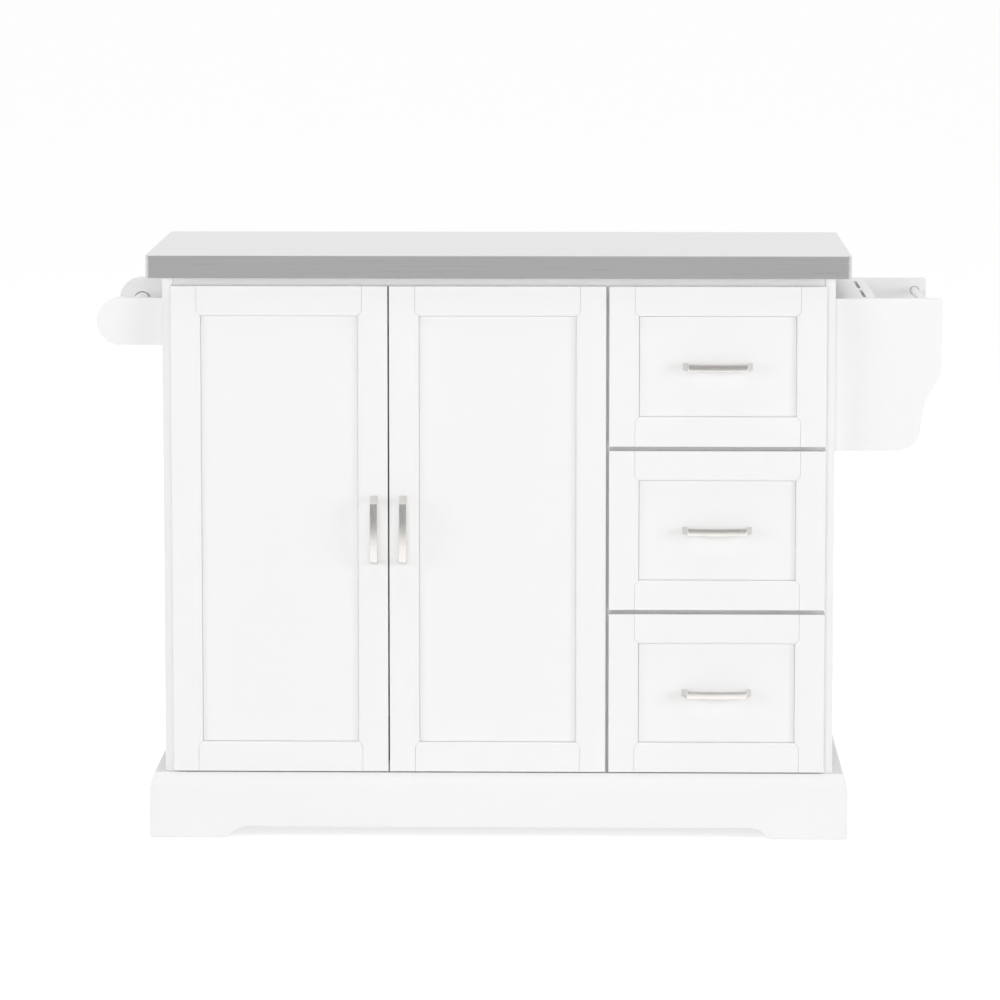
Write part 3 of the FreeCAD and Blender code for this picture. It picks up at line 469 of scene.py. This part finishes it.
def folded_sheet(name, low, high):
    """A worktop's steel between two corners, open below, for a board to be pressed into."""
    piece = block(name, low, high)
    with edit(piece, "EDGE", lambda edge: abs(edge.verts[0].co.z - edge.verts[1].co.z) > TINY):
        bpy.ops.mesh.bevel(offset=STEEL_CORNER, segments=6, affect="EDGES")
    with edit(piece, "EDGE", lambda edge: min(corner.co.z for corner in edge.verts) > high[2] - TINY):
        bpy.ops.mesh.bevel(offset=STEEL_EDGE, segments=4, affect="EDGES")
    with edit(piece, "FACE", lambda face: face.normal.z < -FACING):
        bpy.ops.mesh.inset(thickness=STEEL_SHEET)
        deep = high[2] - low[2] - STEEL_SHEET
        bpy.ops.mesh.extrude_region_move(TRANSFORM_OT_translate={"value": (0, 0, deep)})
    return piece


def smooth(piece, angle=SHARP):
    """Shade the round faces smooth and leave the flat ones flat."""
    bpy.ops.object.select_all(action="DESELECT")
    bpy.context.view_layer.objects.active = piece
    piece.select_set(True)
    bpy.ops.object.shade_smooth_by_angle(angle=angle)
    apply(piece, "WEIGHTED_NORMAL", keep_sharp=True)


top_low, top_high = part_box("worktop_steel")
sheet = folded_sheet("worktop_sheet", top_low, top_high)
smooth(sheet)
note_brushing(sheet)
settle(sheet, steel, "cabinet", "brushed_steel", "worktop_steel")
from_frame("worktop_core", "board", melamine, "white_melamine", 0.4 * MM)


# Doors and drawer fronts: two stiles and two rails with a bevel round the opening, and a panel held in
# their groove, with a line scored round it. Glued and sprayed as one, but the joints show as fine lines.
FRONT_THICK = 18 * MM
FRAME_FLAT = 40 * MM
BEVEL_WIDE, BEVEL_DEEP = 6.4 * MM, 2.6 * MM
PANEL_BACK, PANEL_THICK = 8 * MM, 6 * MM
GROOVE_DEEP, GROOVE_PLAY = 7 * MM, 0.3 * MM
SCORE_WIDE, SCORE_DEEP = 1.2 * MM, 2.2 * MM
SEAM = 0.25 * MM
FRAME_EASED, FRAME_ROUND = 0.4 * MM, 1.6 * MM
CUP_RADIUS, CUP_DEEP, CUP_INSET, HINGE_INSET = 17.5 * MM, 11.5 * MM, 22.5 * MM, 95 * MM
BORE_SIDES = 48
FRONTS = ("door_left", "door_right", "drawer_top", "drawer_middle", "drawer_bottom")


def front_member(name, long, shoulder, hinged=False):
    """A member along X, its outer edge on z = 0 and its face on y = 0, bevelled and grooved along its
    inner edge, which starts a shoulder away from each end and is mitred there."""
    piece = block(name, (-long / 2, 0, 0), (long / 2, FRONT_THICK, FRAME_FLAT))
    tip = long / 2 - shoulder
    if shoulder:
        for cut in (-tip, tip):
            with edit(piece):
                bpy.ops.mesh.bisect(plane_co=(cut, 0, 0), plane_no=(1, 0, 0))
    inner_edge = lambda face: face.normal.z > FACING and abs(face.calc_center_median().x) < tip - TINY
    with edit(piece, "FACE", inner_edge):
        bpy.ops.mesh.extrude_region_move(TRANSFORM_OT_translate={"value": (0, 0, BEVEL_WIDE)})
    for way in (-1, 1):
        with edit(piece, "VERT", lambda corner: corner.co.z > FRAME_FLAT + TINY and corner.co.x * way > 0):
            bpy.ops.transform.translate(value=(-way * BEVEL_WIDE, 0, 0))
    with edit(piece, "VERT", lambda corner: corner.co.z > FRAME_FLAT + TINY and corner.co.y < TINY):
        bpy.ops.transform.translate(value=(0, BEVEL_DEEP, 0))
    groove_front, groove_back = PANEL_BACK - GROOVE_PLAY, PANEL_BACK + PANEL_THICK
    for deep in (groove_front, groove_back):
        with edit(piece):
            bpy.ops.mesh.bisect(plane_co=(0, deep, 0), plane_no=(0, 1, 0))
    groove = (groove_front + groove_back) / 2
    groove_mouth = lambda face: (face.normal.z > FACING and face.calc_center_median().z > FRAME_FLAT + TINY
                                 and abs(face.calc_center_median().y - groove) < TINY)
    with edit(piece, "FACE", groove_mouth):
        bpy.ops.mesh.extrude_region_move(TRANSFORM_OT_translate={"value": (0, 0, -GROOVE_DEEP)})
    if hinged:
        for x in (HINGE_INSET - long / 2, long / 2 - HINGE_INSET):
            start = (x, FRONT_THICK - CUP_DEEP, CUP_INSET)
            carve(piece, rod("bore", CUP_RADIUS, start, (0, 2 * CUP_DEEP, 0), BORE_SIDES))
    outer = lambda corner: corner.co.z < TINY or shoulder and abs(corner.co.x) > long / 2 - TINY
    with edit(piece, "EDGE", lambda edge: all(corner.co.y < TINY and outer(corner) for corner in edge.verts)):
        bpy.ops.mesh.bevel(offset=FRAME_ROUND, segments=4, affect="EDGES")
    ease(piece, FRAME_EASED)
    return piece


for front in FRONTS:
    low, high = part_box(f"{front}_frame")
    wide, tall = high.x - low.x, high.z - low.z
    middle = Vector(((low.x + high.x) / 2, low.y, (low.z + high.z) / 2))
    rail = wide - 2 * FRAME_FLAT - 2 * SEAM
    members = []
    for name, long, shoulder, reach, turn in (
            ("stile_left", tall, FRAME_FLAT, wide / 2, 90), ("stile_right", tall, FRAME_FLAT, wide / 2, -90),
            ("rail_low", rail, 0, tall / 2, 0), ("rail_high", rail, 0, tall / 2, 180)):
        hinged = (front, name) in (("door_left", "stile_left"), ("door_right", "stile_right"))
        member = front_member(name, long, shoulder, hinged)
        turned = Matrix.Rotation(math.radians(turn), 4, "Y")
        member.data.transform(Matrix.Translation(middle) @ turned @ Matrix.Translation((0, 0, -reach)))
        members.append(member)
    members = join(f"{front}_members", members)
    settle(members, lacquer, body_of(f"{front}_frame"), "white_lacquer", f"{front}_frame")
    lip = FRAME_FLAT + BEVEL_WIDE
    left, right, foot, head = low.x + lip, high.x - lip, low.z + lip, high.z - lip
    face = low.y + PANEL_BACK
    scores = [block("score", (x, face - SCORE_DEEP, foot), (x + SCORE_WIDE, face + SCORE_DEEP, head))
              for x in (left, right - SCORE_WIDE)]
    scores += [block("score", (left, face - SCORE_DEEP, z), (right, face + SCORE_DEEP, z + SCORE_WIDE))
               for z in (foot, head - SCORE_WIDE)]
    from_frame(f"{front}_panel", "board", lacquer, "white_lacquer", 0.2 * MM, tools=scores)


# Pulls: a bowed flat strap on two leaning feet, screwed on from behind. Cast zinc alloy, nickel
# plated and brushed along the strap.
PULL_LONG, PULL_WIDE, PULL_OUT = 109 * MM, 11.4 * MM, 28 * MM
STRAP_THICK, STRAP_BOW, STRAP_CROWN = 4 * MM, 3.5 * MM, 0.4 * MM
STRAP_BEND = 3 * MM
FOOT_LONG, FOOT_LEAN = 8 * MM, 7 * MM
STRAP_STEPS, CROWN_STEPS = 18, 6
SHOULDER = PULL_LONG / 2 - FOOT_LEAN
STRAP_FACE = STRAP_BOW + STRAP_CROWN - PULL_OUT
STRAP_BACK = STRAP_FACE + STRAP_THICK

pull = block("pull", (-SHOULDER, STRAP_FACE, -PULL_WIDE / 2), (SHOULDER, STRAP_BACK, PULL_WIDE / 2))
for way in (-1, 1):
    with edit(pull):
        bpy.ops.mesh.bisect(plane_co=(way * (SHOULDER - STRAP_THICK), 0, 0), plane_no=(1, 0, 0))
    with edit(pull, "FACE", lambda face: face.normal.y > FACING
              and way * face.calc_center_median().x > SHOULDER - STRAP_THICK):
        bpy.ops.mesh.extrude_region_move(TRANSFORM_OT_translate={"value": (0, -STRAP_BACK, 0)})
    foot_ends = lambda corner: corner.co.y > -TINY and way * corner.co.x > 0
    with edit(pull, "VERT", lambda corner: foot_ends(corner) and way * corner.co.x > SHOULDER - TINY):
        bpy.ops.transform.translate(value=(way * FOOT_LEAN, 0, 0))
    with edit(pull, "VERT", lambda corner: foot_ends(corner) and way * corner.co.x < SHOULDER - TINY):
        bpy.ops.transform.translate(value=(way * (STRAP_THICK + FOOT_LEAN - FOOT_LONG), 0, 0))
with edit(pull, "EDGE", lambda edge: max(corner.co.y for corner in edge.verts) < STRAP_BACK + TINY
          and abs(edge.verts[0].co.x - edge.verts[1].co.x) > SHOULDER):
    bpy.ops.mesh.subdivide(number_cuts=STRAP_STEPS)
for step in range(1, CROWN_STEPS):
    with edit(pull):
        bpy.ops.mesh.bisect(plane_co=(0, 0, (step / CROWN_STEPS - 0.5) * PULL_WIDE), plane_no=(0, 0, 1))
for corner in pull.data.vertices:
    bow = STRAP_BOW * (1 - (corner.co.x / SHOULDER) ** 2)
    crown = STRAP_CROWN * (1 - (2 * corner.co.z / PULL_WIDE) ** 2)
    if corner.co.y < STRAP_FACE + TINY:
        corner.co.y -= bow + crown
    elif corner.co.y < STRAP_BACK + TINY:
        corner.co.y -= bow
strap_end = lambda corner: abs(abs(corner.co.x) - SHOULDER) < TINY and corner.co.y < STRAP_FACE + TINY
with edit(pull, "EDGE", lambda edge: all(strap_end(corner) for corner in edge.verts)):
    bpy.ops.mesh.bevel(offset=STRAP_BEND, segments=5, affect="EDGES")
ease(pull, 0.6 * MM, 3)

note_brushing(pull)

# Nickel plate, satin brushed. Warm grey, with fine hairlines along the strap, drawn 0.8 mm apart.
nickel, tree, shader, place = surface("satin_nickel", "#DFDCD9", 0.26, 1.0)
lie = add(tree, "UVMap", {"uv_map": "brushing"})
stretch = add(tree, "Mapping", {"Scale": (1 / (60 * MM), 1 / (0.8 * MM), 1)}, {"Vector": lie.outputs[0]})
brush = add(tree, "TexNoise", {"Scale": 1.0, "Detail": 2}, {"Vector": stretch.outputs[0]})
hair = add(tree, "MapRange", {"To Min": 0.20, "To Max": 0.32}, {"Value": brush.outputs[0]})
tree.links.new(hair.outputs[0], shader.inputs["Roughness"])
tint = add(tree, "ValToRGB", None, {"Fac": brush.outputs[0]})
tint.color_ramp.elements[0].color = linear("#DBD8D5")
tint.color_ramp.elements[1].color = linear("#E3E0DD")
tree.links.new(tint.outputs[0], shader.inputs["Base Color"])

for front in FRONTS:
    low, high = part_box(f"{front}_pull")
    spot = Matrix.Translation(((low.x + high.x) / 2, high.y, (low.z + high.z) / 2))
    upright = Matrix.Rotation(math.radians(90 if "door" in front else 0), 4, "Y")
    strap = copy(pull, spot @ upright)
    strap.name = f"{front}_handle"
    settle(strap, nickel, body_of(f"{front}_pull"), "satin_nickel", f"{front}_pull")
bpy.data.objects.remove(pull)


# Door hinges: a pressed cup in each bore with its plate on the door's back, and an arm on a plate on
# the cabinet's wall. Zinc plated steel, held by screws.
for node, part in (("door_left_hinge_cups", "cup"), ("door_right_hinge_cups", "cup"), ("hinge_arms", "arm")):
    from_frame(node, part, zinc, "zinc_steel", 0.5 * MM, 2)

CUP_SCREW, PLATE_SCREW, PLATE_HALF = 19.5 * MM, 12 * MM, 20 * MM
PLATE_THICK = 2 * MM
arms_low, arms_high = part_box("hinge_arms")
left_wall, right_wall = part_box("side_panel_left")[1].x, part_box("partition")[0].x
for door, way, wall in (("door_left", 1, left_wall), ("door_right", -1, right_wall)):
    low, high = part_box(f"{door}_frame")
    heights = (low.z + HINGE_INSET, high.z - HINGE_INSET)
    cup_x = (low.x if way > 0 else high.x) + way * CUP_INSET
    cup_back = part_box(f"{door}_hinge_cups")[1].y
    spots = [(cup_x, cup_back, z + side * CUP_SCREW) for z in heights for side in (-1, 1)]
    screws(f"{door}_cup_screws", door, spots, (0, 1, 0), size=0.75)
    spots = [(wall + way * PLATE_THICK, arms_high.y - PLATE_HALF, z + side * PLATE_SCREW)
             for z in heights for side in (-1, 1)]
    screws(f"{door}_arm_screws", "cabinet", spots, (way, 0, 0), size=0.9)


# Shelf pins: turned steel pegs with a collar, nickel plated, pushed into the rows of holes.
from_frame("shelf_pins", "pegs", nickel, "satin_nickel", 0.3 * MM)


# Drawer boxes: four walls and a floor of melamine faced board, dowelled and glued. The tops of the
# walls are rounded over.
BOX_WALL, BOX_FLOOR, BOX_FLOOR_UP, BOX_ROUND = 12 * MM, 5 * MM, 10 * MM, 1.6 * MM


def drawer_box(name, low, high):
    """The five boards of a drawer between two corners."""
    inner_low, inner_high = low.x + BOX_WALL, high.x - BOX_WALL
    floor_low = low.z + BOX_FLOOR_UP
    boards = (
        ((low.x, low.y, low.z), (inner_low, high.y, high.z)),
        ((inner_high, low.y, low.z), (high.x, high.y, high.z)),
        ((inner_low, low.y, low.z), (inner_high, low.y + BOX_WALL, high.z)),
        ((inner_low, high.y - BOX_WALL, low.z), (inner_high, high.y, high.z)),
        ((inner_low, low.y + BOX_WALL, floor_low), (inner_high, high.y - BOX_WALL, floor_low + BOX_FLOOR)),
    )
    made = []
    for board_low, board_high in boards:
        board = block("board", board_low, board_high)
        top = board_high[2] - TINY
        with edit(board, "EDGE", lambda edge: min(corner.co.z for corner in edge.verts) > top):
            bpy.ops.mesh.bevel(offset=BOX_ROUND, segments=3, affect="EDGES")
        ease(board, 0.4 * MM)
        made.append(board)
    return join(name, made)


for front in FRONTS[2:]:
    node = f"{front}_box"
    settle(drawer_box(f"{front}_tray", *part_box(node)), melamine, body_of(node), "white_melamine", node)


# Drawer runners: a fixed channel on the wall of the bay, and a bar on the drawer's side that slides
# in it on balls. Cold rolled steel, zinc plated.
for node in ("drawer_top_runners", "drawer_middle_runners", "drawer_bottom_runners", "runner_channels"):
    from_frame(node, "bars", zinc, "zinc_steel", 0.4 * MM)


# Towel rail: two round-ended boards screwed to the cabinet's left side, with a round bar between
# them in blind sockets, whose mouths are widened. Lacquered fibreboard and a lacquered beech bar.
BOARD_EASED = 1.2 * MM
MOUTH_GAP, MOUTH_DEEP = 1.3 * MM, 3 * MM


def socketed(bar, front, rear):
    """Two boards with widened mouths to the sockets of a bar, which leave a fine dark ring."""
    low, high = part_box(bar)
    radius = (high.x - low.x) / 2
    for board, face, way in ((front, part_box(front)[1].y, -1), (rear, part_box(rear)[0].y, 1)):
        start = (low.x + radius, face - way * MOUTH_DEEP, low.z + radius)
        mouth = rod("mouth", radius + MOUTH_GAP, start, (0, 2 * way * MOUTH_DEEP, 0), BORE_SIDES)
        from_frame(board, "board", lacquer, "white_lacquer", BOARD_EASED, 3, [mouth])


socketed("towel_bar", "towel_bracket_front", "towel_bracket_rear")
from_frame("towel_bar", "rod", lacquer, "white_lacquer", 0.8 * MM)


# Rack: two boards with a shaped lower edge, a lid with two slots for knives, a divider, and a shelf
# with a lip and a thin rail. Lacquered fibreboard, dowelled to the cabinet's right side.
socketed("rack_rail", "rack_panel_front", "rack_panel_rear")
for node in ("rack_lid", "rack_divider", "rack_rail"):
    from_frame(node, "piece", lacquer, "white_lacquer", 0.6 * MM)

LIP_THICK, LIP_ROUND = 10 * MM, 3 * MM
SHELF_THICK = 15 * MM
low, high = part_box("rack_shelf")
rack_shelf = block("rack_board", low, (high.x - LIP_THICK, high.y, low.z + SHELF_THICK))
rack_lip = block("rack_lip", (high.x - LIP_THICK, low.y, low.z), high)
with edit(rack_lip, "EDGE", lambda edge: min(corner.co.z for corner in edge.verts) > high.z - TINY
          and abs(edge.verts[0].co.y - edge.verts[1].co.y) > TINY):
    bpy.ops.mesh.bevel(offset=LIP_ROUND, segments=5, affect="EDGES")
for part in (rack_shelf, rack_lip):
    ease(part)
settle(join("rack_tray", [rack_shelf, rack_lip]), lacquer, "cabinet", "white_lacquer", "rack_shelf")


# Drop leaf: made as the worktop is, and hung behind the cabinet with its steel to the back. It is
# drawn lying flat and then turned down about its hinge.
leaf_low, leaf_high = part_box("leaf_steel")
leaf_long, leaf_thick = leaf_high.z - leaf_low.z, leaf_high.y - leaf_low.y
leaf = folded_sheet("leaf_sheet", (leaf_low.x, 0, 0), (leaf_high.x, leaf_long, leaf_thick))
smooth(leaf)
note_brushing(leaf)
hang = Matrix.Translation((0, leaf_low.y, leaf_high.z)) @ Matrix.Rotation(math.radians(-90), 4, "X")
leaf.data.transform(hang)
settle(leaf, steel, "drop_leaf", "brushed_steel", "leaf_steel")
from_frame("leaf_core", "board", melamine, "white_melamine", 0.4 * MM)


# Leaf hinges and folding stays: butt hinges under the worktop, and a strut on each side that turns
# on the cabinet's back and whose rollers run in a channel under the leaf. Zinc plated steel.
for node in ("leaf_hinge_fixed", "leaf_hinge_moving", "leaf_hinge_pins", "stay_brackets", "stay_channels",
             "stay_left", "stay_right"):
    from_frame(node, "plate", zinc, "zinc_steel", 0.3 * MM)

HINGE_APART, HINGE_SCREW, HINGE_SHARE = 420 * MM, 28 * MM, 0.4
STAY_APART, STAY_SCREW_X, STAY_SCREW_Z, STAY_PLATE = 660 * MM, 11 * MM, 21 * MM, 3 * MM
middle_x = (top_low.x + top_high.x) / 2
low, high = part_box("leaf_hinge_fixed")
hinge_xs = [middle_x + side * HINGE_APART + way * HINGE_SCREW for side in (-1, 0, 1) for way in (-1, 1)]
spots = [(x, low.y + (high.y - low.y) * HINGE_SHARE, high.z - PLATE_THICK) for x in hinge_xs]
screws("hinge_screws_top", "cabinet", spots, (0, 0, -1), size=0.8)
low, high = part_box("leaf_hinge_moving")
spots = [(x, high.y - PLATE_THICK, low.z + (high.z - low.z) * HINGE_SHARE) for x in hinge_xs]
screws("hinge_screws_leaf", "drop_leaf", spots, (0, -1, 0), size=0.8)
low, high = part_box("stay_brackets")
bracket_face = back_high.y + STAY_PLATE
spots = [(middle_x + side * STAY_APART / 2 + x, bracket_face, (low.z + high.z) / 2 + z)
         for side in (-1, 1) for x in (-STAY_SCREW_X, STAY_SCREW_X) for z in (-STAY_SCREW_Z, STAY_SCREW_Z)]
screws("stay_screws", "cabinet", spots, (0, 1, 0), size=0.8)

bpy.data.objects.remove(screw)
low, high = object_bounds()
